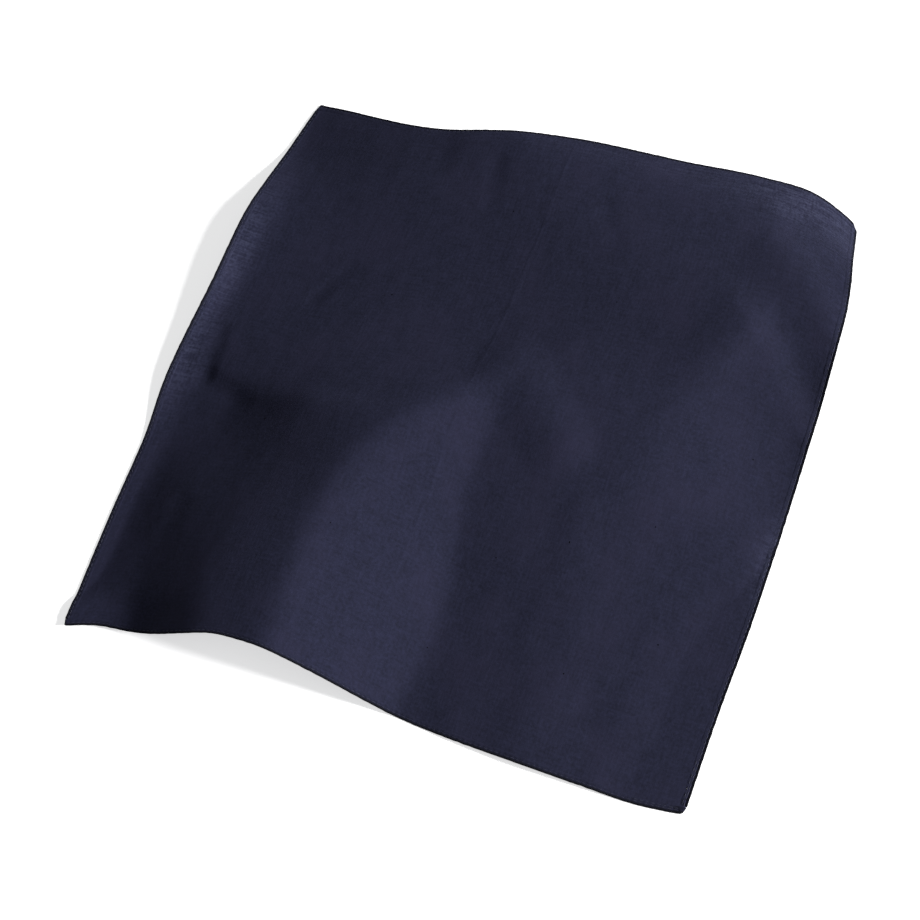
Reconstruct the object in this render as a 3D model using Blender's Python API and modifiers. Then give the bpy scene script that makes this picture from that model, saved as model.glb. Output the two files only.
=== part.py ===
"""Bandana: a square of thin plain-weave cloth with four turned hems, laid loosely on a flat surface.

The cloth lies in the XY plane with its underside resting on Z = 0.  The near side faces -Y.
Where it rests it is flat, and between those places it lifts in a few soft folds that run
from the near side to the far side.  Units are metres; the fold tables are in millimetres.
"""
import math
from bisect import bisect_right

import bmesh
import bpy

# ---------------------------------------------------------------- driving dimensions
MM = 0.001
SIDE = 550.0            # finished side of the square
HALF = SIDE / 2
HEM_WIDTH = 6.0         # a double-turned hem
SEAM_GAP = 0.3          # between the field and each hem, and where two hems meet
FIELD_WALL = 1.0        # the single cloth
HEM_WALL = 1.8          # three layers of cloth, pressed
CELLS = 44              # facets along one side of the field
SETTLE = 1.5            # the folds sink this far, and the surface under them stops them
REST_BLEND = 3.0        # how softly a fold runs out onto the surface

FIELD_HALF = HALF - HEM_WIDTH - SEAM_GAP
HEM_INNER = HALF - HEM_WIDTH

# How far each side of the square bows outwards from a true square (negative is inwards).
# Columns: place along the side from its middle, outward offset.
BOW = {
    "front": ((-275, 3), (-245, -6), (-215, -9), (-190, -11), (-160, -16), (-130, -22),
              (-105, -22.5), (-45, -18), (5, -12), (50, -7), (135, -2), (190, -0.5), (240, 0),
              (275, -3.5)),
    "right": ((-275, -0.5), (-185, 1.5), (-120, 4.5), (-35, 6), (60, 7.5), (100, 8), (140, 7.5),
              (170, 6), (200, 2), (225, -3), (250, -7.5), (275, -12)),
    "back": ((-275, 5), (-130, -6.5), (-60, 2), (5, 8.5), (110, 11), (180, 14.5), (240, 10),
             (275, -3.5)),
    "left": ((-275, 0), (-240, 2), (-170, 5), (-85, 7), (-45, 10), (10, 9), (65, 5), (150, 2.5),
             (185, -0.5), (205, -2.5), (275, -14)),
}

# The rounding of each corner's tip.  Columns: side of X, side of Y, radius.
CORNER_RADIUS = {(-1, -1): 4.0, (1, -1): 5.0, (1, 1): 10.0, (-1, 1): 4.0}

# The folds.  Each line is a bend in the cloth that runs from the near side to the far side.
# Columns: place along Y, place along X, height.
FOLD_LINES = {
    "left_edge": ((-275, -275, 5.5), (-253, -275, 4.5), (-240, -275, 0), (-150, -275, 0),
                  (-80, -275, 3), (-35, -275, 8), (20, -275, 11.5), (90, -275, 16.5),
                  (150, -275, 15.5), (185, -275, 9.5), (215, -275, 5.5), (275, -275, 0.5)),
    "left_roll": ((-275, -255, 6), (-253, -255, 5.5), (-240, -257, 4), (-200, -258, 2),
                  (-100, -260, 0), (-60, -256, 0), (-40, -254, 1), (-20, -258, 3.5),
                  (60, -258, 4), (150, -246, 8.5), (205, -240, 9), (275, -240, 8.5)),
    "hollow": ((-275, -213, 6), (-253, -215, 7), (-240, -217, 10), (-200, -220, 12),
               (-145, -219, 14), (-100, -212, 12), (-60, -204, 10.5), (-42, -204, 10),
               (-22, -202, 13.5), (5, -200, 13), (100, -190, 10.5), (150, -189, 11.5),
               (205, -192, 15), (275, -192, 15.5)),
    "brow": ((-275, -150, 35), (-200, -157, 33.5), (-145, -150, 32), (-100, -136, 31),
             (-60, -132, 32), (-42, -132, 33), (-22, -130, 27.5), (5, -124, 24.5),
             (100, -109, 19.5), (150, -107, 19), (205, -110, 23), (275, -110, 26.5)),
    "crest": ((-275, -82, 44), (-200, -85, 44), (-145, -84, 44), (-75, -69, 44), (-35, -43, 43.5),
              (24, 8, 35.5), (60, 30, 31), (90, 35, 30.5), (150, 24, 29.5), (205, -3, 31),
              (275, -53, 32.5)),
    "valley": ((-275, 33, 0), (-172, 38, 3), (-108, 25, 11), (-52, 22, 20.5), (-7, 24, 28.5),
               (24, 28, 32), (60, 58, 34), (90, 77, 33.5), (150, 87, 34), (205, 86, 32.5),
               (275, 84, 26)),
    "swell": ((-275, 140, 8), (-150, 131, 9.5), (-70, 134, 17.5), (-20, 152, 24.5), (24, 161, 29.5),
              (60, 165, 33.5), (80, 178, 37), (110, 196, 41), (140, 200, 40.5), (160, 199, 38),
              (182, 200, 35), (205, 202, 33), (240, 203, 27.5), (275, 202, 17.5)),
    "right_roll": ((-275, 250, 0), (-150, 250, 0), (-100, 255, 2), (-60, 260, 6.5), (-10, 260, 7),
                   (40, 259, 13), (80, 260, 22), (110, 252, 30.5), (140, 238, 34.5),
                   (165, 235, 35.5), (200, 230, 33), (225, 220, 26.5), (275, 225, 16.5)),
    "right_edge": ((-275, 275, 0), (-150, 275, 0), (-60, 275, 0), (-20, 275, 4.5), (20, 275, 10),
                   (60, 275, 17.5), (100, 275, 26.5), (140, 275, 32), (170, 275, 33),
                   (200, 275, 30.5), (225, 275, 23.5), (250, 275, 11), (275, 275, 1)),
}

# The radius with which the cloth bends over each line between the two edges.
BEND_RADIUS = {"left_roll": 10, "hollow": 8, "brow": 14, "crest": 13, "valley": 7, "swell": 18,
               "right_roll": 12}

# The broad creases that cross the folds.  Columns: start across and along, end across and along,
# reach to the left and to the right of that direction, height at the start and at the end.
CREASES = {
    "facet": (22, 42, 84, -14, 34, 40, 2.2, 2.8),
    "shoulder": (200, 130, 170, 50, 24, 42, 1.5, 0.4),
    "shoulder_trough": (212, 148, 280, 80, 46, 30, -1.4, -2.2),
    "far_shoulder": (214, 184, 288, 120, 40, 44, 2.6, 3.4),
    "far_ridge": (-90, 258, 196, 237, 25, 45, 1.6, 1.6),
    "left_corner": (-258, 218, -155, 237, 45, 40, -2.7, 0.7),
    "low_right": (216, -128, 213, -208, 37, 43, 0.9, 2.1),
}

CLOTH_COLOUR = (0.022, 0.023, 0.045, 1.0)
HEM_COLOUR = (0.016, 0.017, 0.034, 1.0)
CLOTH_ROUGHNESS = 0.92


# ---------------------------------------------------------------- the form of the cloth
def smooth_curve(rows, place):
    """The values of a table at a place, on a smooth curve through its rows."""
    places = [row[0] for row in rows]
    place = min(max(place, places[0]), places[-1])
    low = min(max(bisect_right(places, place) - 1, 0), len(rows) - 2)
    gap = places[low + 1] - places[low]
    part = (place - places[low]) / gap

    def slope(index, column):
        first = max(index - 1, 0)
        last = min(index + 1, len(rows) - 1)
        if first == index or last == index:
            return (rows[last][column] - rows[first][column]) / (places[last] - places[first])
        before = places[index] - places[first]
        after = places[last] - places[index]
        rise_before = (rows[index][column] - rows[first][column]) / before
        rise_after = (rows[last][column] - rows[index][column]) / after
        return (rise_before * after + rise_after * before) / (before + after)

    values = []
    for column in range(1, len(rows[0])):
        start = rows[low][column]
        end = rows[low + 1][column]
        values.append(start * (2 * part**3 - 3 * part**2 + 1)
                      + slope(low, column) * gap * (part**3 - 2 * part**2 + part)
                      + end * (3 * part**2 - 2 * part**3)
                      + slope(low + 1, column) * gap * (part**3 - part**2))
    return values


def crease_height(row, across, along):
    """Height that one crease adds: a rounded bump along a line, or a trough where it is negative."""
    x0, y0, x1, y1, left, right, start, end = row
    length = math.hypot(x1 - x0, y1 - y0)
    ux = (x1 - x0) / length
    uy = (y1 - y0) / length
    forward = (across - x0) * ux + (along - y0) * uy
    sideways = (along - y0) * ux - (across - x0) * uy
    reach = left if sideways > 0 else right
    beyond = max(0.0, -forward, forward - length)
    apart = (sideways / reach)**2 + (2 * beyond / (left + right))**2
    if apart >= 1:
        return 0.0
    part = min(max(forward / length, 0.0), 1.0)
    return (start + (end - start) * part) * (1 - apart)**2


def fold_height(across, along):
    """Height of the cloth over the surface: straight flanks that bend softly at each fold line."""
    names = list(FOLD_LINES)
    bends = [smooth_curve(FOLD_LINES[name], along) for name in names]
    slopes = [(b[1] - a[1]) / (b[0] - a[0]) for a, b in zip(bends, bends[1:])]
    start = bends[0]
    height = start[1] + (slopes[0] + slopes[-1]) / 2 * (across - start[0])
    for index, name in enumerate(names[1:-1], 1):
        place = bends[index][0]
        radius = BEND_RADIUS[name]
        turn = (slopes[index] - slopes[index - 1]) / 2
        height += turn * (math.hypot(across - place, radius) - math.hypot(start[0] - place, radius))
    height += sum(crease_height(row, across, along) for row in CREASES.values()) - SETTLE
    rested = (height + math.hypot(height, REST_BLEND) - REST_BLEND) / 2
    return max(rested, 0.0)


def round_corner(across, along):
    """Pull a corner's tip in to its radius."""
    sides = (1 if across > 0 else -1, 1 if along > 0 else -1)
    radius = CORNER_RADIUS[sides]
    over_x = abs(across) - (HALF - radius)
    over_y = abs(along) - (HALF - radius)
    if over_x <= 0 or over_y <= 0:
        return across, along
    pull = max(over_x, over_y) / math.hypot(over_x, over_y)
    return (sides[0] * (HALF - radius + over_x * pull),
            sides[1] * (HALF - radius + over_y * pull))


def plan_point(across, along):
    """Where a place on the flat square lies in plan, with its bowed sides."""
    across, along = round_corner(across, along)
    right_share = (across / HALF + 1) / 2
    back_share = (along / HALF + 1) / 2
    shift_x = (smooth_curve(BOW["right"], along)[0] * right_share
               - smooth_curve(BOW["left"], along)[0] * (1 - right_share))
    shift_y = (smooth_curve(BOW["back"], across)[0] * back_share
               - smooth_curve(BOW["front"], across)[0] * (1 - back_share))
    return across + shift_x, along + shift_y


def plan_centre():
    """The middle of the laid cloth's bounding box in plan."""
    steps = [-HALF + SIDE * i / CELLS for i in range(CELLS + 1)]
    xs = [plan_point(side, step)[0] for step in steps for side in (-HALF, HALF)]
    ys = [plan_point(step, side)[1] for step in steps for side in (-HALF, HALF)]
    return (min(xs) + max(xs)) / 2, (min(ys) + max(ys)) / 2


CENTRE = plan_centre()


def cloth_point(across, along):
    """The underside of the laid cloth, in metres."""
    x, y = plan_point(across, along)
    return ((x - CENTRE[0]) * MM, (y - CENTRE[1]) * MM, fold_height(across, along) * MM)


# ---------------------------------------------------------------- pieces
def plain_material(name, colour):
    material = bpy.data.materials.new(name)
    material.use_nodes = True
    shader = material.node_tree.nodes["Principled BSDF"]
    shader.inputs["Base Color"].default_value = colour
    shader.inputs["Roughness"].default_value = CLOTH_ROUGHNESS
    shader.inputs["Metallic"].default_value = 0.0
    return material


def cloth_piece(name, across_places, along_places, wall, material, collection):
    """A grid laid on the cloth's form, with the wall built up from its underside."""
    grid = bmesh.new()
    bmesh.ops.create_grid(grid, x_segments=len(across_places) - 1,
                          y_segments=len(along_places) - 1, size=1.0)
    for corner in grid.verts:
        column = round((corner.co.x + 1) / 2 * (len(across_places) - 1))
        row = round((corner.co.y + 1) / 2 * (len(along_places) - 1))
        corner.co = cloth_point(across_places[column], along_places[row])
    mesh = bpy.data.meshes.new(name)
    grid.to_mesh(mesh)
    grid.free()
    mesh.materials.append(material)
    mesh.shade_smooth()
    piece = bpy.data.objects.new(name, mesh)
    collection.objects.link(piece)
    shell = piece.modifiers.new("wall", 'SOLIDIFY')
    shell.thickness = wall * MM
    shell.offset = 1.0
    shell.use_even_offset = True
    return piece


def build():
    for old in list(bpy.data.objects):
        bpy.data.objects.remove(old, do_unlink=True)
    collection = bpy.data.collections.new("bandana")
    bpy.context.scene.collection.children.link(collection)

    inside = [-FIELD_HALF + 2 * FIELD_HALF * i / CELLS for i in range(CELLS + 1)]
    whole = [-HALF] + inside + [HALF]
    low_strip = [-HALF, -HEM_INNER]
    high_strip = [HEM_INNER, HALF]

    cloth_piece("field", inside, inside, FIELD_WALL, plain_material("cloth", CLOTH_COLOUR), collection)
    # The front and back hems are turned last, so they run the whole width and the others stop at them.
    for name, across_places, along_places in (("hem_front", whole, low_strip),
                                              ("hem_back", whole, high_strip),
                                              ("hem_left", low_strip, inside),
                                              ("hem_right", high_strip, inside)):
        cloth_piece(name, across_places, along_places, HEM_WALL,
                    plain_material(name, HEM_COLOUR), collection)


build()
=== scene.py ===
# %% [markdown]
# # A navy bandana, laid loosely
# A bandana is one square of thin plain-weave cloth with a narrow hem turned twice and
# stitched on all four sides.  Here it has been dropped on a table, so it rests flat in some
# places and lifts in soft folds in others.  The solid model under this script already has
# that shape with thick, coarse walls.  These cells lay real cloth over it: a thin shell with
# its finer creases, hems with a folded section, a row of stitches on each hem, and the
# finishes, light and camera.

import math
from bisect import bisect_right
from functools import lru_cache

import bmesh
import bpy
from mathutils import Matrix, Vector, noise


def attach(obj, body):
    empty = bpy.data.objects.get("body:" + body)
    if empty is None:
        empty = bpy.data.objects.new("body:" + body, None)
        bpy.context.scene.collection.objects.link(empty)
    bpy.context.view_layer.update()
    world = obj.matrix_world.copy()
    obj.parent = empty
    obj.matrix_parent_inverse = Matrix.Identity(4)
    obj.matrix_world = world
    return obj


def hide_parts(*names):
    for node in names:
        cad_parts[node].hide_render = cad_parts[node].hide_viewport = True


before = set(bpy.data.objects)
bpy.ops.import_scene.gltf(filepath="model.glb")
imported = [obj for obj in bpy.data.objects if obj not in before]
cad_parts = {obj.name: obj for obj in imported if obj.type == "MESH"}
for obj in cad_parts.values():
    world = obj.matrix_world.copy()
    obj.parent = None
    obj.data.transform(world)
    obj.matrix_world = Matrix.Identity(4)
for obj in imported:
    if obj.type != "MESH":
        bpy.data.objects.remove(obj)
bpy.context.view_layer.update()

# %% [markdown]
# ## Sizes of the real thing
# The finished square is 550 mm a side.  The hem is 6 mm wide.  Lengths are in millimetres up
# to the moment a point is handed to Blender, because a sewer thinks in millimetres and the
# tables stay readable.

# %% Driving sizes
MM = 0.001
SIDE = 550.0
HALF = SIDE / 2
HEM_WIDTH = 6.0
CLOTH_THICKNESS = 0.35
CLOTH_LIFT = 0.12        # the single cloth clears the table by this, because the hem's fold is under it
STITCH_PITCH = 4.6
SEAM_FROM_EDGE = 2.8     # the row of stitches, in from the outer fold
WEAVE_PITCH = 0.42
print("finished square:", SIDE, "mm a side, with a hem", HEM_WIDTH, "mm wide")

# %% [markdown]
# ## How the sides bow
# Thin cloth never falls back into a true square.  Each side's bow is a short table: a place
# along the side, and how far the side stands out there.  A smooth curve through the rows
# gives the outline.  The corners' tips are rounded, as a turned and pressed corner is.

# %% Bow of the four sides
BOW = {
    "front": ((-275, 3), (-245, -6), (-215, -9), (-190, -11), (-160, -16), (-130, -22),
              (-105, -22.5), (-45, -18), (5, -12), (50, -7), (135, -2), (190, -0.5), (240, 0),
              (275, -3.5)),
    "right": ((-275, -0.5), (-185, 1.5), (-120, 4.5), (-35, 6), (60, 7.5), (100, 8), (140, 7.5),
              (170, 6), (200, 2), (225, -3), (250, -7.5), (275, -12)),
    "back": ((-275, 5), (-130, -6.5), (-60, 2), (5, 8.5), (110, 11), (180, 14.5), (240, 10),
             (275, -3.5)),
    "left": ((-275, 0), (-240, 2), (-170, 5), (-85, 7), (-45, 10), (10, 9), (65, 5), (150, 2.5),
             (185, -0.5), (205, -2.5), (275, -14)),
}
CORNER_RADIUS = {(-1, -1): 4.0, (1, -1): 5.0, (1, 1): 10.0, (-1, 1): 4.0}
print("the near side bows in by", -min(bow for _, bow in BOW["front"]), "mm at most")

# %% [markdown]
# ## How the cloth folds
# The big form is a set of fold lines that run from the near side to the far side, like the
# ribs of a fan.  Each row says where along the cloth it is, where across, and how high the
# cloth stands.  Between two lines the cloth is a straight flank, and at a line it bends with
# that line's radius, which is how light, crisp cloth behaves: it bends one way at a time.

# %% Fold lines
FOLD_LINES = {
    "left_edge": ((-275, -275, 5.5), (-253, -275, 4.5), (-240, -275, 0), (-150, -275, 0),
                  (-80, -275, 3), (-35, -275, 8), (20, -275, 11.5), (90, -275, 16.5),
                  (150, -275, 15.5), (185, -275, 9.5), (215, -275, 5.5), (275, -275, 0.5)),
    "left_roll": ((-275, -255, 6), (-253, -255, 5.5), (-240, -257, 4), (-200, -258, 2),
                  (-100, -260, 0), (-60, -256, 0), (-40, -254, 1), (-20, -258, 3.5),
                  (60, -258, 4), (150, -246, 8.5), (205, -240, 9), (275, -240, 8.5)),
    "hollow": ((-275, -213, 6), (-253, -215, 7), (-240, -217, 10), (-200, -220, 12),
               (-145, -219, 14), (-100, -212, 12), (-60, -204, 10.5), (-42, -204, 10),
               (-22, -202, 13.5), (5, -200, 13), (100, -190, 10.5), (150, -189, 11.5),
               (205, -192, 15), (275, -192, 15.5)),
    "brow": ((-275, -150, 35), (-200, -157, 33.5), (-145, -150, 32), (-100, -136, 31),
             (-60, -132, 32), (-42, -132, 33), (-22, -130, 27.5), (5, -124, 24.5),
             (100, -109, 19.5), (150, -107, 19), (205, -110, 23), (275, -110, 26.5)),
    "crest": ((-275, -82, 44), (-200, -85, 44), (-145, -84, 44), (-75, -69, 44), (-35, -43, 43.5),
              (24, 8, 35.5), (60, 30, 31), (90, 35, 30.5), (150, 24, 29.5), (205, -3, 31),
              (275, -53, 32.5)),
    "valley": ((-275, 33, 0), (-172, 38, 3), (-108, 25, 11), (-52, 22, 20.5), (-7, 24, 28.5),
               (24, 28, 32), (60, 58, 34), (90, 77, 33.5), (150, 87, 34), (205, 86, 32.5),
               (275, 84, 26)),
    "swell": ((-275, 140, 8), (-150, 131, 9.5), (-70, 134, 17.5), (-20, 152, 24.5), (24, 161, 29.5),
              (60, 165, 33.5), (80, 178, 37), (110, 196, 41), (140, 200, 40.5), (160, 199, 38),
              (182, 200, 35), (205, 202, 33), (240, 203, 27.5), (275, 202, 17.5)),
    "right_roll": ((-275, 250, 0), (-150, 250, 0), (-100, 255, 2), (-60, 260, 6.5), (-10, 260, 7),
                   (40, 259, 13), (80, 260, 22), (110, 252, 30.5), (140, 238, 34.5),
                   (165, 235, 35.5), (200, 230, 33), (225, 220, 26.5), (275, 225, 16.5)),
    "right_edge": ((-275, 275, 0), (-150, 275, 0), (-60, 275, 0), (-20, 275, 4.5), (20, 275, 10),
                   (60, 275, 17.5), (100, 275, 26.5), (140, 275, 32), (170, 275, 33),
                   (200, 275, 30.5), (225, 275, 23.5), (250, 275, 11), (275, 275, 1)),
}
BEND_RADIUS = {"left_roll": 10, "hollow": 8, "brow": 14, "crest": 13, "valley": 7, "swell": 18,
               "right_roll": 12}
SETTLE = 1.5             # the folds sink this far, and the table stops them
REST_BLEND = 3.0         # how gently a flank runs out on to the table
print("fold lines from left to right:", ", ".join(FOLD_LINES))

# %% [markdown]
# ## Fine creases
# On top of the folds lie small creases: dents where a fold pinches, a facet beside the main
# valley, a turned-up corner.  Each row is one crease: where it starts and ends, how far it
# reaches to the left and to the right of its own direction, and its height at each end.  A
# negative height is a trough.  The pressed line down the middle is where the square was folded
# in its packet: a ridge a tenth of a millimetre high.

# %% Table of creases
# Columns: start across, start along, end across, end along, reach left, reach right, two heights.
CREASES = {
    "hollow_pinch": (-247, 16, -242, -26, 14, 14, -0.9, -1.5),
    "hollow_head": (-240, -28, -196, -44, 14, 16, -0.9, -0.6),
    "dart": (-178, 75, -157, 112, 10, 13, -0.8, -0.4),
    "far_dent": (-63, 240, -53, 195, 14, 14, -0.6, -0.3),
    "far_dent_right": (48, 210, 73, 170, 13, 13, -0.5, -0.2),
    "facet": (22, 42, 84, -14, 34, 40, 2.2, 2.8),
    "near_dent": (73, -255, 96, -163, 30, 30, 1.0, -0.8),
    "near_ridge": (130, -243, 180, -177, 26, 21, 0.6, 0.6),
    "near_ridge_right": (203, -269, 225, -202, 22, 20, 0.8, -0.5),
    "shoulder": (200, 130, 170, 50, 24, 42, 1.5, 0.4),
    "shoulder_trough": (212, 148, 280, 80, 46, 30, -1.4, -2.2),
    "far_shoulder": (214, 184, 288, 120, 40, 44, 2.6, 3.4),
    "hollow_deep": (-214, -153, -211, -244, 17, 13, -0.6, 0.3),
    "far_ridge": (-90, 258, 196, 237, 25, 45, 1.6, 1.6),
    "left_corner": (-258, 218, -155, 237, 45, 40, -2.7, 0.7),
    "low_right": (216, -128, 213, -208, 37, 43, 0.9, 2.1),
    "mid_right": (119, -68, 127, -175, 24, 22, 1.0, -0.6),
}
PRESSED_FOLD = {"across": -4.0, "lean": 0.026, "from": -190.0, "to": 275.0, "height": 0.10, "width": 1.4}
RIPPLE = 0.22            # how far the cloth wanders by itself
# Columns: share of the ripple, its size across and along, and which noise it is.
RIPPLES = ((1.0, 42, 55, 3.7), (0.6, 17, 21, 8.1), (0.3, 7, 8, 5.3))
print("creases:", len(CREASES), "and one pressed line")

# %% [markdown]
# ## Reading a table as a smooth curve
# A table gives a few places and values; the cloth needs a value everywhere.  A cubic between
# each two rows, with the slopes matched where they meet, passes through every row and doesn't
# overshoot much.  The slopes are worked out once for each table, and answers are kept, because
# the same places are asked for many times.

# %% Smooth curve through a table
def with_slopes(rows):
    """A table's places, values and slopes, so that a curve can run smoothly through its rows."""
    places = [row[0] for row in rows]
    steps = [(b[0] - a[0], [(q - p) / (b[0] - a[0]) for p, q in zip(a[1:], b[1:])])
             for a, b in zip(rows, rows[1:])]
    slopes = [steps[0][1]]
    for (gap_before, before), (gap_after, after) in zip(steps, steps[1:]):
        slopes.append([(p * gap_after + q * gap_before) / (gap_before + gap_after)
                       for p, q in zip(before, after)])
    slopes.append(steps[-1][1])
    return places, [row[1:] for row in rows], slopes


def smooth_curve(table, place):
    """The values of a prepared table at a place."""
    places, values, slopes = table
    place = min(max(place, places[0]), places[-1])
    low = min(max(bisect_right(places, place) - 1, 0), len(places) - 2)
    gap = places[low + 1] - places[low]
    part = (place - places[low]) / gap
    from_start = 2 * part**3 - 3 * part**2 + 1
    leaving = (part**3 - 2 * part**2 + part) * gap
    arriving = (part**3 - part**2) * gap
    return [start * from_start + end * (1 - from_start) + slope_out * leaving + slope_in * arriving
            for start, end, slope_out, slope_in
            in zip(values[low], values[low + 1], slopes[low], slopes[low + 1])]


BOW_CURVES = {side: with_slopes(rows) for side, rows in BOW.items()}
FOLD_CURVES = [with_slopes(rows) for rows in FOLD_LINES.values()]


@lru_cache(maxsize=None)
def bow_at(side, place):
    return smooth_curve(BOW_CURVES[side], place)[0]


@lru_cache(maxsize=None)
def bends_at(along):
    """Where every fold line crosses one row of the cloth, and the slopes of the flanks between."""
    bends = [smooth_curve(curve, along) for curve in FOLD_CURVES]
    slopes = [(b[1] - a[1]) / (b[0] - a[0]) for a, b in zip(bends, bends[1:])]
    return bends, slopes


print("main crest at mid-cloth:", [round(v, 1) for v in bends_at(0.0)[0][3]], "mm across and up")


# %% [markdown]
# ## Height of the cloth
# A straight flank meets the next one at a fold line.  Writing each bend as a hyperbola keeps
# the flanks straight and rounds only the bend.  A crease is a bump with a smooth, rounded
# section, reaching further on its gentle side.

# %% Height functions
def crease_height(row, across, along):
    x0, y0, x1, y1, left, right, start, end = row
    length = math.hypot(x1 - x0, y1 - y0)
    ux, uy = (x1 - x0) / length, (y1 - y0) / length
    forward = (across - x0) * ux + (along - y0) * uy
    sideways = (along - y0) * ux - (across - x0) * uy
    reach = left if sideways > 0 else right
    beyond = max(0.0, -forward, forward - length)
    apart = (sideways / reach)**2 + (2 * beyond / (left + right))**2
    if apart >= 1:
        return 0.0
    part = min(max(forward / length, 0.0), 1.0)
    return (start + (end - start) * part) * (1 - apart)**2


def fold_height(across, along):
    """Height of the big folds over the table before the table stops them."""
    bends, slopes = bends_at(along)
    start = bends[0]
    height = start[1] + (slopes[0] + slopes[-1]) / 2 * (across - start[0])
    for index, name in enumerate(BEND_RADIUS, 1):
        place = bends[index][0]
        radius = BEND_RADIUS[name]
        turn = (slopes[index] - slopes[index - 1]) / 2
        height += turn * (math.hypot(across - place, radius) - math.hypot(start[0] - place, radius))
    return height


def cloth_height(across, along):
    """Height of the laid cloth's underside, creases and small ripples included."""
    height = fold_height(across, along) - SETTLE
    height += sum(crease_height(row, across, along) for row in CREASES.values())
    rested = (height + math.hypot(height, REST_BLEND) - REST_BLEND) / 2
    wander = sum(share * noise.noise(Vector((across / wide, along / long, kind)))
                 for share, wide, long, kind in RIPPLES)
    height = rested + RIPPLE * wander
    fold = PRESSED_FOLD
    if fold["from"] < along <= fold["to"]:
        away = across - fold["across"] - fold["lean"] * along
        height += fold["height"] * math.exp(-(away / fold["width"])**2)
    return max(height, 0.0)


print("highest of the main fold:", round(cloth_height(-95, -200), 1), "mm")


# %% [markdown]
# ## From the flat square to the laid cloth
# Every point of the cloth has an address on the flat square: how far across and how far along
# from its middle.  One function says where that point lies now.  All pieces use it, so a hem
# stays on its edge and a stitch stays in its hem.

# %% Places on the laid cloth
def round_corner(across, along):
    sides = (1 if across > 0 else -1, 1 if along > 0 else -1)
    radius = CORNER_RADIUS[sides]
    over_x = abs(across) - (HALF - radius)
    over_y = abs(along) - (HALF - radius)
    if over_x <= 0 or over_y <= 0:
        return across, along
    pull = max(over_x, over_y) / math.hypot(over_x, over_y)
    return (sides[0] * (HALF - radius + over_x * pull),
            sides[1] * (HALF - radius + over_y * pull))


def plan_point(across, along):
    across, along = round_corner(across, along)
    right_share = (across / HALF + 1) / 2
    back_share = (along / HALF + 1) / 2
    shift_x = bow_at("right", along) * right_share - bow_at("left", along) * (1 - right_share)
    shift_y = bow_at("back", across) * back_share - bow_at("front", across) * (1 - back_share)
    return across + shift_x, along + shift_y


def plan_centre(steps=44):
    """The middle of the outline's box, which is where the solid model has its origin."""
    marks = [-HALF + SIDE * i / steps for i in range(steps + 1)]
    xs = [plan_point(side, mark)[0] for mark in marks for side in (-HALF, HALF)]
    ys = [plan_point(mark, side)[1] for mark in marks for side in (-HALF, HALF)]
    return (min(xs) + max(xs)) / 2, (min(ys) + max(ys)) / 2


CENTRE = plan_centre()


@lru_cache(maxsize=None)
def cloth_point(across, along):
    """A point of the laid cloth's underside, in metres."""
    x, y = plan_point(across, along)
    return Vector(((x - CENTRE[0]) * MM, (y - CENTRE[1]) * MM, cloth_height(across, along) * MM))


def cloth_up(across, along, reach=1.0):
    """The direction square to the cloth, on its upper side."""
    inner_x = min(max(across, -HALF + reach), HALF - reach)
    inner_y = min(max(along, -HALF + reach), HALF - reach)
    over = cloth_point(inner_x + reach, inner_y) - cloth_point(inner_x - reach, inner_y)
    on = cloth_point(inner_x, inner_y + reach) - cloth_point(inner_x, inner_y - reach)
    return over.cross(on).normalized()


print("middle of the outline's box:", [round(v, 2) for v in CENTRE], "mm from the square's middle")

# %% [markdown]
# ## Writing a finish as sums
# A finish is a tree of nodes.  Placing each Math node by hand is slow to read, so one small
# class wraps a socket: adding or multiplying two of them adds the Math node.  Every other node
# comes from one method that takes its type, its settings and what goes into its sockets.

# %% Helpers for finishes
class Amount:
    """A number that varies over a surface, with the sums that the finishes need."""

    def __init__(self, finish, socket):
        self.finish = finish
        self.socket = socket

    def combined(self, operation, first, second):
        return self.finish.node("ShaderNodeMath", {"operation": operation}, {0: first, 1: second}, "Value")

    def __add__(self, other):
        return self.combined('ADD', self, other)

    def __mul__(self, other):
        return self.combined('MULTIPLY', self, other)

    __radd__ = __add__
    __rmul__ = __mul__


class Finish:
    """A material under construction."""

    def __init__(self, name):
        self.material = bpy.data.materials.new(name)
        self.material.use_nodes = True
        self.tree = self.material.node_tree
        self.shader = self.tree.nodes["Principled BSDF"]

    def fill(self, socket, value):
        if isinstance(value, Amount):
            self.tree.links.new(value.socket, socket)
        else:
            socket.default_value = value

    def node(self, kind, settings, sockets, output):
        made = self.tree.nodes.new(kind)
        for name, value in settings.items():
            setattr(made, name, value)
        for key, value in sockets.items():
            self.fill(made.inputs[key], value)
        if isinstance(output, tuple):
            return [Amount(self, made.outputs[name]) for name in output]
        return Amount(self, made.outputs[output])

    def sine(self, amount):
        return self.node("ShaderNodeMath", {"operation": 'SINE'}, {0: amount}, "Value")

    def limited(self, amount, low, high):
        """0 where the amount is under low, 1 where it is over high."""
        return self.node("ShaderNodeMapRange", {"clamp": True},
                         {"Value": amount, "From Min": low, "From Max": high}, "Result")

    def mixed(self, share, first, second):
        """A colour between two, through a colour Mix node."""
        return self.node("ShaderNodeMix", {"data_type": 'RGBA'}, {0: share, 6: first, 7: second}, 2)

    def uneven(self, place, scale, detail):
        """Noise with its own stretch across and along the cloth."""
        stretched = self.node("ShaderNodeMapping", {}, {"Vector": place, "Scale": scale}, "Vector")
        return self.node("ShaderNodeTexNoise", {}, {"Vector": stretched, "Scale": 1.0,
                                                    "Detail": detail, "Roughness": 0.6}, "Fac")

    def set_shader(self, **values):
        for name, value in values.items():
            self.fill(self.shader.inputs[name.replace("_", " ")], value)


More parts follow.
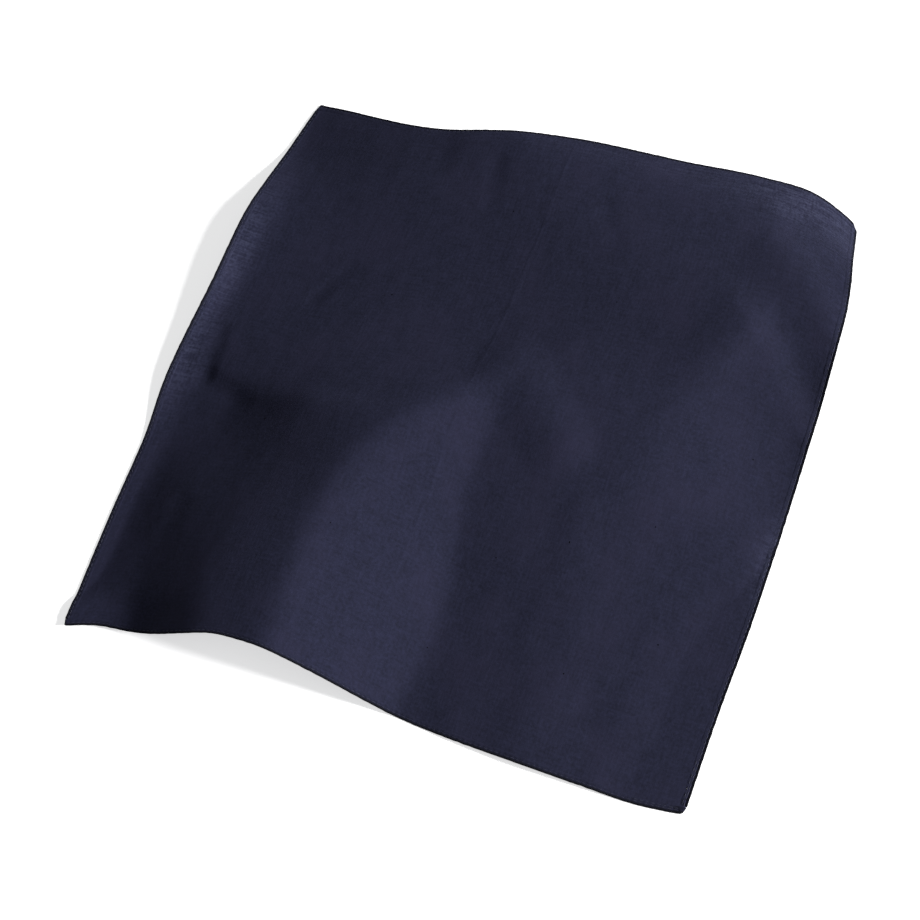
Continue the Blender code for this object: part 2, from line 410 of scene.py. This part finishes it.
# %% [markdown]
# ## The cloth's finish
# Plain weave shows three things.  Close to, every other thread stands up, which is a product
# of two sine waves.  A step back, threads of uneven thickness draw fine streaks both ways.
# Further off, the dye and the nap make broad, faint clouds.  The nap also catches light at a
# glancing angle, which is what sheen does.  Along some edges and at the far right corner a
# lighter navy with bright single threads is painted in, a painted sheen where raised cloth
# catches the light: a short table says where, and an attribute on the mesh carries it to the
# finish.  The pattern reads the cloth's own flat addresses, stored as its UV map in metres, so
# the threads follow every fold.

# %% Where a sheen is painted on the cloth
# Columns: across, along, reach across, reach along, strength.
# Painted sheen: patches along the edges and at the far right corner, where raised cloth catches the light.
PAINTED_SHEEN_PATCHES = (
    (-270, 105, 18, 85, 0.60), (-268, -15, 17, 45, 0.50), (140, 272, 150, 14, 0.40),
    (225, 258, 48, 24, 0.80), (276, -55, 10, 38, 1.00), (-60, 275, 120, 9, 0.25),
    (276, 120, 8, 120, 0.30),
)


def painted_sheen_share(across, along):
    """How much painted sheen a place gets, from 0 to 1."""
    share = sum(strength * math.exp(-((across - x) / reach_x)**2 - ((along - y) / reach_y)**2)
                for x, y, reach_x, reach_y, strength in PAINTED_SHEEN_PATCHES)
    return min(share, 1.0)


# The painted sheen at the far right corner.
print("nap at the far right corner:", round(painted_sheen_share(240, 250), 2))

# %% [markdown]
# ## The colours and the yarn
# The colours are the dye where it took well, where it took deep and where it is worn, and a
# lighter navy for the painted sheen where raised cloth catches the light.  Each yarn pattern is
# noise with its own stretch: how often it changes in a metre across and along the cloth.  A mix
# is then a short recipe of patterns, so one share can be turned up to see what it does.

# %% Cloth finish
NAVY = (0.0170, 0.0182, 0.0400, 1.0)
NAVY_DEEP = (0.0091, 0.0097, 0.0214, 1.0)
NAVY_WORN = (0.0196, 0.0185, 0.0405, 1.0)
# Painted sheen: a lighter navy where raised cloth catches the light.
NAVY_PAINTED_SHEEN = (0.0440, 0.0480, 0.0840, 1.0)
# Painted shade at a hem's outer fold and in its needle holes; it also darkens the crowded corner.
SHADE_AND_CROWD_COLOUR = (0.0015, 0.0015, 0.0030, 1.0)
SHEEN_COLOUR = (0.42, 0.46, 0.90, 1.0)

# Columns: changes in a metre across, changes in a metre along, detail.
YARN = {
    "grain": (380.0, 380.0, 1.0),
    "warp_streaks": (500.0, 48.0, 2.0),
    "weft_streaks": (36.0, 470.0, 2.0),
    "thick_warp": (420.0, 9.0, 2.0),
    "thick_weft": (8.0, 380.0, 2.0),
    "mottling": (110.0, 90.0, 2.0),
    "clouds": (16.0, 12.0, 3.0),
}
# How much of each pattern goes into the dye's shade, the relief, and the painted sheen's bright threads.
SHADE_MIX = {"grain": 0.9, "warp_streaks": 0.40, "weft_streaks": 0.40, "mottling": 0.55}
RELIEF_MIX = {"grain": 1.3, "warp_streaks": 1.3, "weft_streaks": 1.3, "thick_warp": 0.8,
              "thick_weft": 0.8, "mottling": 1.5}
SHEEN_THREAD_MIX = {"weft_streaks": 0.7, "warp_streaks": 0.3, "grain": 0.35}
WEAVE_RELIEF = 0.30      # the crossings' share of the relief
CLOTH_RELIEF = 0.06      # how deep the whole relief reads
HEM_RELIEF = 0.07
CLOTH_GLOSS = 0.12
NAP_SHEEN = 0.07


def blended(patterns, mix):
    """The patterns that a mix names, each times its share, added up."""
    parts = [patterns[kind] * share for kind, share in mix.items()]
    return sum(parts[1:], parts[0])


def woven_finish(name, relief, shade_and_crowd_colour=None):
    """Plain weave; on a hem a near-black colour is painted on as shade near the outer fold and in the
    needle holes, and it darkens the crowded corner.
    """
    finish = Finish(name)
    flat = finish.node("ShaderNodeUVMap", {"uv_map": "flat"}, {}, "UV")
    across, along = finish.node("ShaderNodeSeparateXYZ", {}, {"Vector": flat}, ("X", "Y"))
    turn = math.pi / (WEAVE_PITCH * MM)
    weave = finish.sine(across * turn) * finish.sine(along * turn)
    yarn = {kind: finish.uneven(flat, (x, y, 1.0), detail) for kind, (x, y, detail) in YARN.items()}

    shade = finish.limited(blended(yarn, SHADE_MIX), 0.85, 1.45)
    colour = finish.mixed(shade, NAVY_DEEP, NAVY)
    wear = finish.limited(yarn["clouds"], 0.45, 0.75) * 0.5
    colour = finish.mixed(wear, colour, NAVY_WORN)

    # Painted sheen: a lighter navy with bright single threads where raised cloth catches the light.
    painted_sheen_mask = finish.node("ShaderNodeAttribute", {"attribute_name": "painted_sheen"}, {}, "Fac")
    sheen_threads = finish.limited(blended(yarn, SHEEN_THREAD_MIX), 0.60, 0.95)
    colour = finish.mixed(painted_sheen_mask * sheen_threads, colour, NAVY_PAINTED_SHEEN)

    # Painted shade at a hem's outer fold and in its needle holes, and the crowded corner's darkening.
    if shade_and_crowd_colour:
        clear_of_shade_and_crowd = finish.node("ShaderNodeAttribute", {"attribute_name": "clear_of_shade_and_crowd"}, {}, "Fac")
        colour = finish.mixed(clear_of_shade_and_crowd, shade_and_crowd_colour, colour)

    height = weave * WEAVE_RELIEF + blended(yarn, RELIEF_MIX)
    bump = finish.node("ShaderNodeBump", {}, {"Strength": 1.0, "Distance": relief * MM,
                                              "Height": height}, "Normal")
    finish.set_shader(Base_Color=colour, Roughness=0.86 + 0.10 * shade, Normal=bump)
    finish.set_shader(Specular_IOR_Level=CLOTH_GLOSS, Sheen_Weight=NAP_SHEEN, Sheen_Roughness=0.45,
                      Sheen_Tint=SHEEN_COLOUR)
    return finish.material


cloth_finish = woven_finish("navy_plain_weave", CLOTH_RELIEF)
hem_finish = woven_finish("navy_hem_weave", HEM_RELIEF, shade_and_crowd_colour=SHADE_AND_CROWD_COLOUR)
print("cloth finish has", len(cloth_finish.node_tree.nodes), "nodes")

# %% [markdown]
# ## The thread's finish
# The sewing thread is spun polyester in a paler navy.  It is rounder and a little glossier
# than the cloth.  Fine slanting ribs stand for its twist, with painted shade darkening their
# troughs.  The thick knots in the cloth's own yarn use the same finish, darker and dull.

# %% Thread finish
def thread_finish(name, colour, ribs_per_metre, gloss):
    finish = Finish(name)
    place = finish.node("ShaderNodeTexCoord", {}, {}, "Object")
    across, along = finish.node("ShaderNodeSeparateXYZ", {}, {"Vector": place}, ("X", "Y"))
    slant = across + along * 0.8
    ribs = finish.sine(slant * (2 * math.pi * ribs_per_metre))
    bump = finish.node("ShaderNodeBump", {}, {"Strength": 0.6, "Distance": 0.04 * MM,
                                              "Height": ribs}, "Normal")
    # Painted shade: the colour is darker in the troughs of the ribs.
    rib_trough_shade = tuple(part * 0.6 for part in colour[:3]) + (1.0,)
    finish.set_shader(Base_Color=finish.mixed(ribs * 0.5 + 0.5, rib_trough_shade, colour), Normal=bump)
    finish.set_shader(Roughness=0.6, Specular_IOR_Level=gloss)
    return finish.material


THREAD_NAVY = (0.034, 0.036, 0.062, 1.0)
SLUB_NAVY = (0.004, 0.004, 0.008, 1.0)

sewing_thread = thread_finish("navy_sewing_thread", THREAD_NAVY, ribs_per_metre=2600, gloss=0.3)
slub_thread = thread_finish("navy_slub", SLUB_NAVY, ribs_per_metre=1800, gloss=0.05)
print("thread finishes:", sewing_thread.name, "and", slub_thread.name)

# %% [markdown]
# ## The field
# The field is the square itself.  A grid is laid on the cloth's form, with its columns packed
# closer beside the pressed middle fold so that a ridge a millimetre wide has points to stand
# on.  Solidify gives it the thickness of the cloth.  A cloth simulation could drop a square on
# a table too, but it would fall in folds of its own and not in these.

# %% Field
FIELD_REACH = HALF - 0.9    # the single cloth ends inside the hem
FIELD_CELLS = 212
BESIDE_FOLD = [-11.0 + index for index in range(17)]    # a column each millimetre by the pressed line


def field_marks(extra):
    marks = {round(-FIELD_REACH + 2 * FIELD_REACH * i / FIELD_CELLS, 4) for i in range(FIELD_CELLS + 1)}
    return sorted(marks | set(extra))


def plain_mesh(piece):
    """Turn a piece with modifiers into a plain mesh of its own."""
    seen = piece.evaluated_get(bpy.context.evaluated_depsgraph_get())
    result = bpy.data.meshes.new_from_object(seen)
    piece.modifiers.clear()
    old = piece.data
    piece.data = result
    result.name = piece.name
    bpy.data.meshes.remove(old)
    return piece


def add_piece(name, mesh, finish):
    mesh.materials.clear()
    mesh.materials.append(finish)
    piece = bpy.data.objects.new(name, mesh)
    bpy.context.scene.collection.objects.link(piece)
    return piece


def make_field():
    across_marks = field_marks(BESIDE_FOLD)
    along_marks = field_marks(())
    grid = bmesh.new()
    bmesh.ops.create_grid(grid, x_segments=len(across_marks) - 1, y_segments=len(along_marks) - 1, size=1.0)
    flat = grid.loops.layers.uv.new("flat")
    # The painted sheen, carried to the finish as an attribute.
    painted_sheen = grid.verts.layers.float.new("painted_sheen")
    address = {}
    for corner in grid.verts:
        column = round((corner.co.x + 1) / 2 * (len(across_marks) - 1))
        row = round((corner.co.y + 1) / 2 * (len(along_marks) - 1))
        address[corner] = (across_marks[column], along_marks[row])
        corner.co = cloth_point(*address[corner]) + Vector((0, 0, CLOTH_LIFT * MM))
        corner[painted_sheen] = painted_sheen_share(*address[corner])
    for face in grid.faces:
        for loop in face.loops:
            loop[flat].uv = [value * MM for value in address[loop.vert]]
    mesh = bpy.data.meshes.new("cloth_field")
    grid.to_mesh(mesh)
    grid.free()
    mesh.shade_smooth()
    piece = add_piece("cloth_field", mesh, cloth_finish)
    shell = piece.modifiers.new("thickness", 'SOLIDIFY')
    shell.thickness = CLOTH_THICKNESS * MM
    shell.offset = 1.0
    return plain_mesh(piece)


field = make_field()
print("field:", len(field.data.polygons), "faces")

# %% [markdown]
# ## The hems
# A double-turned hem is a flat tube of three layers.  Its outer edge is a round fold, and its
# inner edge is the second fold, a small step down to the single cloth.  The stitches pull a
# trough along it, with a dimple at every needle hole, and between the holes the cloth puckers
# a little.  The section is a short table; it is carried along each side and closed at the
# ends.  The front and back hems were turned last, so they run the whole width and are thicker
# at the corners, where they cover the ends of the side hems.

# %% Hem section
# Columns: distance in from the outer fold, height over the underside of the cloth.
HEM_SECTION = (
    (6.30, 0.12), (6.22, 0.36), (5.90, 0.50), (5.30, 0.54), (4.50, 0.57), (3.80, 0.58),
    (3.45, 0.54), (3.10, 0.47), (2.80, 0.44), (2.50, 0.48), (2.05, 0.60), (1.30, 0.74), (0.60, 0.78),
    (0.15, 0.64), (0.00, 0.40), (0.10, 0.14), (0.50, 0.02), (1.80, 0.00), (3.10, 0.02),
    (4.50, 0.00), (5.80, 0.02),
)
HEM_STEP = 0.8
HEM_OUTER = 0.25         # where the hem's outer fold hangs from the cloth's edge
HEM_GAP = 0.6            # a side hem stops this far short of the hem across it
UPPER_SKIN = 0.25        # points higher than this are on the upper side, which puckers
HOLE_DEPTH = 0.30
HOLE_REACH = 0.95
PUCKER = 0.10
EDGE_WANDER = 0.25
CORNER_BULK = 0.5
CORNER_REACH = 8.0       # the thick corner's length, and the ramp down from it
CORNER_RAMP = 4.0
CLOSED_END = 0.45        # how thick the very end of a hem is, and how soon it is full
CLOSING_REACH = 1.2
TACK_LENGTH = 34.0       # how far the seam is sewn twice at the near right corner


def smooth_step(value):
    value = min(max(value, 0.0), 1.0)
    return value * value * (3 - 2 * value)


def needle_hole(distance, along):
    """1 at the middle of the nearest needle hole, falling off to 0 around it."""
    nearest = (round(along / STITCH_PITCH - 0.5) + 0.5) * STITCH_PITCH
    away = math.hypot(distance - SEAM_FROM_EDGE, along - nearest) / HOLE_REACH
    return math.exp(-away * away)


def hem_address(side, distance, along):
    """A hem's own address turned into the square's: distance in from the edge, and along the side."""
    edge = HALF - distance
    return {"front": (along, -edge), "back": (along, edge),
            "left": (-edge, along), "right": (edge, along)}[side]


CROWD_FADE = 9.0         # how softly the crowded corner ends
CROWD_SPECK = 0.9        # size of its specks


def hem_clear_of_shade_and_crowd(side, distance, along):
    """How much of its own colour a hem shows: painted shade takes it away at the outer fold and in the
    needle holes.

    At the near right corner the seams start and end, and the crowded thread darkens the cloth.
    """
    # Painted shade: dark at the outer fold, where it turns down, and in every needle hole; the strip
    # between the seam and the fold is darker too.
    fold = smooth_step((distance - 1.0) / 1.0)
    margin = 0.5 + 0.5 * smooth_step((distance - 2.3) / 1.4)
    across, back = hem_address(side, distance, along)
    from_corner = math.hypot(HALF - across, HALF + back)
    crowd = smooth_step((TACK_LENGTH / 2 - from_corner) / CROWD_FADE)
    speckle = 0.5 + 0.5 * noise.noise(Vector((across / CROWD_SPECK, back / CROWD_SPECK, 6.0)))
    return fold * margin * (1 - 0.95 * needle_hole(distance, along)) * (1 - crowd * speckle)


def hem_station(side, along):
    """The cloth under a hem at one place: its outer point, its inner point and its upward way."""
    outer = cloth_point(*hem_address(side, HEM_OUTER, along))
    inner = cloth_point(*hem_address(side, HEM_WIDTH, along))
    up = cloth_up(*hem_address(side, SEAM_FROM_EDGE, along))
    return outer, inner, up


def hem_point(station, distance, height, along, seed):
    """A point on a hem's skin."""
    outer, inner, up = station
    if height > UPPER_SKIN:
        loose = noise.noise(Vector((along / 6.5, seed, distance / 9)))
        height += PUCKER * loose - HOLE_DEPTH * needle_hole(distance, along)
    wander = EDGE_WANDER * noise.noise(Vector((along / 5.0, seed + 4.0, 0.0)))
    share = (distance - HEM_OUTER - wander) / (HEM_WIDTH - HEM_OUTER)
    return outer.lerp(inner, share) + up * (height * MM)


print("hem section has", len(HEM_SECTION), "points and is",
      max(row[1] for row in HEM_SECTION), "mm thick")

# %% [markdown]
# ## Carrying the section along each side
# Each hem is a lofted tube: one ring of points every 0.8 mm, joined to the next ring by faces.
# The ends are closed, so the tube is one solid skin.  A UV map in metres runs along the hem and
# round its section, so the weave stays true to size on the fold.

# %% Hems
def hem_marks(reach):
    steps = round(2 * reach / HEM_STEP)
    return [-reach + 2 * reach * i / steps for i in range(steps + 1)]


def make_hem(side, seed):
    turned_last = side in ("front", "back")
    reach = HALF - HEM_OUTER if turned_last else HALF - HEM_WIDTH - HEM_GAP
    shape = bmesh.new()
    flat = shape.loops.layers.uv.new("flat")
    # The hem's painted shade, with the crowded corner's darkening, carried to the finish as an attribute.
    clear_of_shade_and_crowd = shape.verts.layers.float.new("clear_of_shade_and_crowd")
    # The painted sheen, carried to the finish as an attribute.
    painted_sheen = shape.verts.layers.float.new("painted_sheen")
    marks = hem_marks(reach)
    rings = []
    address = {}
    for along in marks:
        from_end = reach - abs(along)
        bulk = 1.0
        if turned_last:
            bulk += CORNER_BULK * smooth_step((CORNER_REACH - from_end) / CORNER_RAMP)
        closing = CLOSED_END + (1 - CLOSED_END) * smooth_step(from_end / CLOSING_REACH)
        ring = []
        station = hem_station(side, along)
        travelled = 0.0
        for index, (distance, height) in enumerate(HEM_SECTION):
            before = HEM_SECTION[index - 1]
            travelled += math.hypot(distance - before[0], height - before[1])
            corner = shape.verts.new(hem_point(station, distance, height * bulk * closing, along, seed))
            address[corner] = (along * MM, travelled * MM)
            corner[clear_of_shade_and_crowd] = hem_clear_of_shade_and_crowd(side, distance, along)
            corner[painted_sheen] = painted_sheen_share(*hem_address(side, distance, along))
            ring.append(corner)
        rings.append(ring)
    count = len(HEM_SECTION)
    for ring, following in zip(rings, rings[1:]):
        for index in range(count):
            after = (index + 1) % count
            face = shape.faces.new((ring[index], ring[after], following[after], following[index]))
            for loop in face.loops:
                loop[flat].uv = address[loop.vert]
            face.smooth = True
    shape.faces.new(rings[0])
    shape.faces.new(list(reversed(rings[-1])))
    bmesh.ops.recalc_face_normals(shape, faces=shape.faces)
    mesh = bpy.data.meshes.new("hem_" + side)
    shape.to_mesh(mesh)
    shape.free()
    return add_piece("turned_hem_" + side, mesh, hem_finish)


SIDES = ("front", "right", "back", "left")
hems = {side: make_hem(side, seed) for seed, side in enumerate(SIDES, 1)}
for side, hem in hems.items():
    print(hem.name, len(hem.data.polygons), "faces")

# %% [markdown]
# ## The stitches
# A lockstitch shows as short lengths of thread with a needle hole between each two.  They
# repeat hundreds of times along a path, so Geometry Nodes lay them: the path becomes a curve,
# the curve becomes evenly spaced points, and each point gets one bead of thread turned along
# the path.  The tree has its sizes as named inputs, and a fixed seed makes no two alike.

# %% Stitch tree
STITCH_LENGTH = 3.4
THREAD_THICKNESS = 0.42
STITCH_UNEVENNESS = 0.18
BEAD_SIDES = 6


def node_tree(name, inputs):
    """A geometry tree with a mesh in and out, and named inputs for its sizes."""
    tree = bpy.data.node_groups.new(name, 'GeometryNodeTree')
    tree.interface.new_socket("Geometry", in_out='INPUT', socket_type='NodeSocketGeometry')
    tree.interface.new_socket("Geometry", in_out='OUTPUT', socket_type='NodeSocketGeometry')
    for label, kind, value in inputs:
        socket = tree.interface.new_socket(label, in_out='INPUT', socket_type=kind)
        if value is not None:
            socket.default_value = value
    return tree


def place_node(tree, kind, settings=None, sockets=None):
    """Add one node: its settings first, then values or links into its sockets."""
    made = tree.nodes.new(kind)
    for name, value in (settings or {}).items():
        setattr(made, name, value)
    for key, value in (sockets or {}).items():
        if isinstance(value, bpy.types.NodeSocket):
            tree.links.new(value, made.inputs[key])
        else:
            made.inputs[key].default_value = value
    return made


def stitch_tree():
    tree = node_tree("stitch_row", (("Spacing", 'NodeSocketFloat', STITCH_PITCH * MM),
                                    ("Length", 'NodeSocketFloat', STITCH_LENGTH * MM),
                                    ("Thickness", 'NodeSocketFloat', THREAD_THICKNESS * MM),
                                    ("Unevenness", 'NodeSocketFloat', STITCH_UNEVENNESS),
                                    ("Seed", 'NodeSocketInt', 1),
                                    ("Thread", 'NodeSocketMaterial', None)))
    given = place_node(tree, "NodeGroupInput").outputs
    path = place_node(tree, "GeometryNodeMeshToCurve", None, {"Mesh": given["Geometry"]}).outputs["Curve"]
    upright = place_node(tree, "GeometryNodeSetCurveNormal", {"mode": 'Z_UP'}, {"Curve": path})
    points = place_node(tree, "GeometryNodeCurveToPoints", {"mode": 'LENGTH'},
                        {"Curve": upright.outputs["Curve"], "Length": given["Spacing"]}).outputs
    bead = place_node(tree, "GeometryNodeMeshUVSphere", None,
                      {"Segments": BEAD_SIDES, "Rings": BEAD_SIDES, "Radius": 0.5}).outputs["Mesh"]
    size = place_node(tree, "ShaderNodeCombineXYZ", None, {"X": given["Thickness"], "Y": given["Thickness"],
                                                           "Z": given["Length"]}).outputs["Vector"]
    low = place_node(tree, "ShaderNodeMath", {"operation": 'SUBTRACT'},
                     {0: 1.0, 1: given["Unevenness"]}).outputs["Value"]
    high = place_node(tree, "ShaderNodeMath", {"operation": 'ADD'},
                      {0: 1.0, 1: given["Unevenness"]}).outputs["Value"]
    chance = place_node(tree, "FunctionNodeRandomValue", {"data_type": 'FLOAT'},
                        {"Min": low, "Max": high, "Seed": given["Seed"]})
    varied = place_node(tree, "ShaderNodeVectorMath", {"operation": 'SCALE'},
                        {"Vector": size, "Scale": chance.outputs["Value"]}).outputs["Vector"]
    laid = place_node(tree, "GeometryNodeInstanceOnPoints", None,
                      {"Points": points["Points"], "Instance": bead,
                       "Rotation": points["Rotation"], "Scale": varied}).outputs["Instances"]
    real = place_node(tree, "GeometryNodeRealizeInstances", None, {"Geometry": laid}).outputs["Geometry"]
    smooth = place_node(tree, "GeometryNodeSetShadeSmooth", None, {"Geometry": real}).outputs["Geometry"]
    coloured = place_node(tree, "GeometryNodeSetMaterial", None,
                          {"Geometry": smooth, "Material": given["Thread"]}).outputs["Geometry"]
    place_node(tree, "NodeGroupOutput", None, {"Geometry": coloured})
    return tree


def run_tree(piece, tree, values):
    """Put a tree on a piece, set its inputs by their identifiers, and keep the plain mesh."""
    modifier = piece.modifiers.new(tree.name, 'NODES')
    modifier.node_group = tree
    identifiers = {item.name: item.identifier for item in tree.interface.items_tree
                   if item.item_type == 'SOCKET' and item.in_out == 'INPUT'}
    for name, value in values.items():
        modifier[identifiers[name]] = value
    return plain_mesh(piece)


stitches_tree = stitch_tree()
print("stitch tree has", len(stitches_tree.nodes), "nodes")

# %% [markdown]
# ## Sewing the four rows
# Each row's path lies in the trough of its hem, on the upper skin.  The first stitch starts
# half a stitch past a needle hole, so every bead spans from one dimple to the next.

# %% Stitch rows
STITCH_HEIGHT = 0.48
ROW_SHORT = 1.5          # the rows end this far inside the ends of their hems


def thread_path(side, start, end, from_edge, height):
    """The points along a seam, one for each stitch."""
    count = int((end - start) / STITCH_PITCH)
    points = []
    for index in range(count + 1):
        across, along = hem_address(side, from_edge, start + index * STITCH_PITCH)
        points.append(cloth_point(across, along) + cloth_up(across, along) * (height * MM))
    return points


def make_stitches(name, side, start, end, seed, from_edge=SEAM_FROM_EDGE, height=STITCH_HEIGHT):
    points = thread_path(side, start, end, from_edge, height)
    mesh = bpy.data.meshes.new("thread_path")
    mesh.from_pydata([point[:] for point in points], [(i, i + 1) for i in range(len(points) - 1)], [])
    piece = bpy.data.objects.new(name, mesh)
    bpy.context.scene.collection.objects.link(piece)
    return run_tree(piece, stitches_tree, {"Seed": seed, "Thread": sewing_thread})


def row_reach(side):
    """Half of a row's length, in whole stitches: the side hems' rows stop at the hems across them."""
    free = HALF - ROW_SHORT if side in ("front", "back") else HALF - HEM_WIDTH - ROW_SHORT
    return int(free / STITCH_PITCH) * STITCH_PITCH


stitches = {side: make_stitches("stitches_" + side, side, -row_reach(side), row_reach(side), seed)
            for seed, side in enumerate(SIDES, 11)}
for side, row in stitches.items():
    print(row.name, len(row.data.polygons), "faces")

# %% [markdown]
# ## The tacks at the near right corner
# Each seam starts and ends at this corner, and the sewer goes back over the last stitches to
# lock them.  The second pass falls half a stitch out of step, so the corner looks twice as
# densely sewn.

# %% Tacks
TACK_FROM_EDGE = 4.4
TACK_HEIGHT = 0.62
HALF_STITCH = STITCH_PITCH / 2

tacks = {
    "front": make_stitches("tack_front", "front", row_reach("front") - TACK_LENGTH - HALF_STITCH,
                           row_reach("front") - HALF_STITCH, 21, TACK_FROM_EDGE, TACK_HEIGHT),
    "right": make_stitches("tack_right", "right", HALF_STITCH - row_reach("right"),
                           HALF_STITCH - row_reach("right") + TACK_LENGTH, 22, TACK_FROM_EDGE, TACK_HEIGHT),
}
print("tacks:", [len(tack.data.polygons) for tack in tacks.values()], "faces")

# %% [markdown]
# ## Slubs
# Spun thread has a thick, dark knot here and there.  A few show on this cloth as specks a
# millimetre or two long, lying along a thread.  Each is a small flattened bead on the cloth's
# upper side.

# %% Slubs
# Columns: across, along, length, 1 where it lies along the warp and 0 along the weft.
SLUBS = ((118, -92, 2.2, 1), (212, -150, 1.6, 0), (150, -196, 1.4, 1), (-108, 88, 1.8, 0),
         (64, -122, 1.2, 1), (180, -60, 1.2, 0), (-30, 190, 1.4, 0), (36, -212, 1.3, 0),
         (88, 120, 1.2, 1), (-166, -60, 1.3, 1), (236, 20, 1.4, 1), (-70, -150, 1.2, 0))
SLUB_WIDTH = 1.2
SLUB_HEIGHT = 0.35


def make_slubs():
    beads = bmesh.new()
    for across, along, length, on_warp in SLUBS:
        centre = cloth_point(across, along)
        up = cloth_up(across, along)
        ahead = cloth_point(across + (1 - on_warp), along + on_warp) - centre
        side = up.cross(ahead).normalized()
        ahead = side.cross(up)
        place = Matrix((ahead * length, side * SLUB_WIDTH, up * SLUB_HEIGHT)).transposed() * MM
        place = place.to_4x4()
        place.translation = centre + up * ((CLOTH_LIFT + CLOTH_THICKNESS) * MM)
        bmesh.ops.create_icosphere(beads, subdivisions=2, radius=0.5, matrix=place)
    bmesh.ops.recalc_face_normals(beads, faces=beads.faces)
    for face in beads.faces:
        face.smooth = True
    mesh = bpy.data.meshes.new("slubs")
    beads.to_mesh(mesh)
    beads.free()
    return add_piece("slubs", mesh, slub_thread)


slubs = make_slubs()
print("slubs:", len(slubs.data.polygons), "faces")

# %% [markdown]
# ## The table, the light and the camera
# The cloth lies on a plain pale table.  One soft lamp stands low to the right and rakes
# across the folds, so their left flanks fall into shade; a wide, weak lamp overhead and a pale
# surround keep the shade open.

# %% Table
FLOOR_REACH = 6.0
FLOOR_DROP = 0.0004      # the table's top lies this far under the cloth, so the two never share a plane
FLOOR_GLOW = 0.6         # a lit table top, which keeps the shadows pale


def make_floor():
    bpy.ops.mesh.primitive_plane_add(size=2 * FLOOR_REACH, location=(0, 0, -FLOOR_DROP))
    floor = bpy.context.object
    floor.name = "table_top"
    finish = Finish("pale_table")
    finish.set_shader(Base_Color=(0.9, 0.9, 0.9, 1.0), Roughness=0.8, Specular_IOR_Level=0.1)
    finish.set_shader(Emission_Color=(1.0, 1.0, 1.0, 1.0), Emission_Strength=FLOOR_GLOW)
    floor.data.materials.append(finish.material)
    return floor


floor = make_floor()
print("table top", floor.dimensions[:])

# %% [markdown]
# ## Lamps
# A lamp's place is given as a direction from the cloth and a distance, because that is how one
# thinks of it: low on the right, and a few steps away.  A square lamp a metre wide, six metres
# off, throws shadows with slightly soft edges.

# %% Lamps
def toward(azimuth, elevation):
    """A unit direction: azimuth 0 is the near side, 90 is the right."""
    turn, lift = math.radians(azimuth), math.radians(elevation)
    return Vector((math.sin(turn) * math.cos(lift), -math.cos(turn) * math.cos(lift), math.sin(lift)))


def add_lamp(name, azimuth, elevation, distance, size, watts):
    lamp = bpy.data.lights.new(name, 'AREA')
    lamp.shape = 'SQUARE'
    lamp.size = size
    lamp.energy = watts
    holder = bpy.data.objects.new(name, lamp)
    direction = toward(azimuth, elevation)
    holder.location = direction * distance
    holder.rotation_euler = direction.to_track_quat('Z', 'Y').to_euler()
    bpy.context.scene.collection.objects.link(holder)
    return holder


# Columns: azimuth, elevation, distance in metres, side of the square in metres, watts.
LAMPS = {
    "raking_lamp": (98, 20.0, 6.5, 1.1, 1130),
    "overhead_lamp": (20, 80, 2.4, 2.0, 4),
}
SURROUND_COLOUR = (0.95, 0.97, 1.0, 1.0)
SURROUND_STRENGTH = 0.15

lamps = [add_lamp(name, *row) for name, row in LAMPS.items()]
world = bpy.data.worlds.new("pale_surround")
world.use_nodes = True
surround = world.node_tree.nodes["Background"]
surround.inputs["Color"].default_value = SURROUND_COLOUR
surround.inputs["Strength"].default_value = SURROUND_STRENGTH
bpy.context.scene.world = world
bpy.context.scene.view_settings.view_transform = 'Standard'
print("lamps:", [lamp.name for lamp in lamps])

# %% [markdown]
# ## Camera
# The camera looks down at the cloth over its near right corner, and is turned a little about
# its own axis, so that the near side runs down to the right.

# %% Camera
CAMERA = {"azimuth": 40.1, "elevation": 63.0, "roll": -22.0, "distance": 1.530, "lens": 70.0,
          "look_at": (1.85, -36.7)}


def add_camera(azimuth, elevation, roll, distance, lens, look_at):
    back = toward(azimuth, elevation)
    right = Vector((math.cos(math.radians(azimuth)), math.sin(math.radians(azimuth)), 0.0))
    turn = Matrix.Rotation(math.radians(roll), 3, back)
    right = turn @ right
    up = back.cross(right)
    target = Vector(((look_at[0] - CENTRE[0]) * MM, (look_at[1] - CENTRE[1]) * MM, 0.0))
    camera = bpy.data.objects.new("camera", bpy.data.cameras.new("camera"))
    camera.data.lens = lens
    place = Matrix((right, up, back)).transposed().to_4x4()
    place.translation = target + back * distance
    camera.matrix_world = place
    bpy.context.scene.collection.objects.link(camera)
    bpy.context.scene.camera = camera
    return camera


camera = add_camera(**CAMERA)
print("camera stands at", [round(v, 3) for v in camera.matrix_world.translation])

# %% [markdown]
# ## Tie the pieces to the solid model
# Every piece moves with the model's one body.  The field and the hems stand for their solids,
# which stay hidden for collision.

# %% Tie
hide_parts("field")
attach(field, "root")
for side in SIDES:
    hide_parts("hem_" + side)
    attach(hems[side], "root")
threads = [*stitches.values(), *tacks.values()]
for thread in threads:
    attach(thread, "root")
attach(slubs, "root")
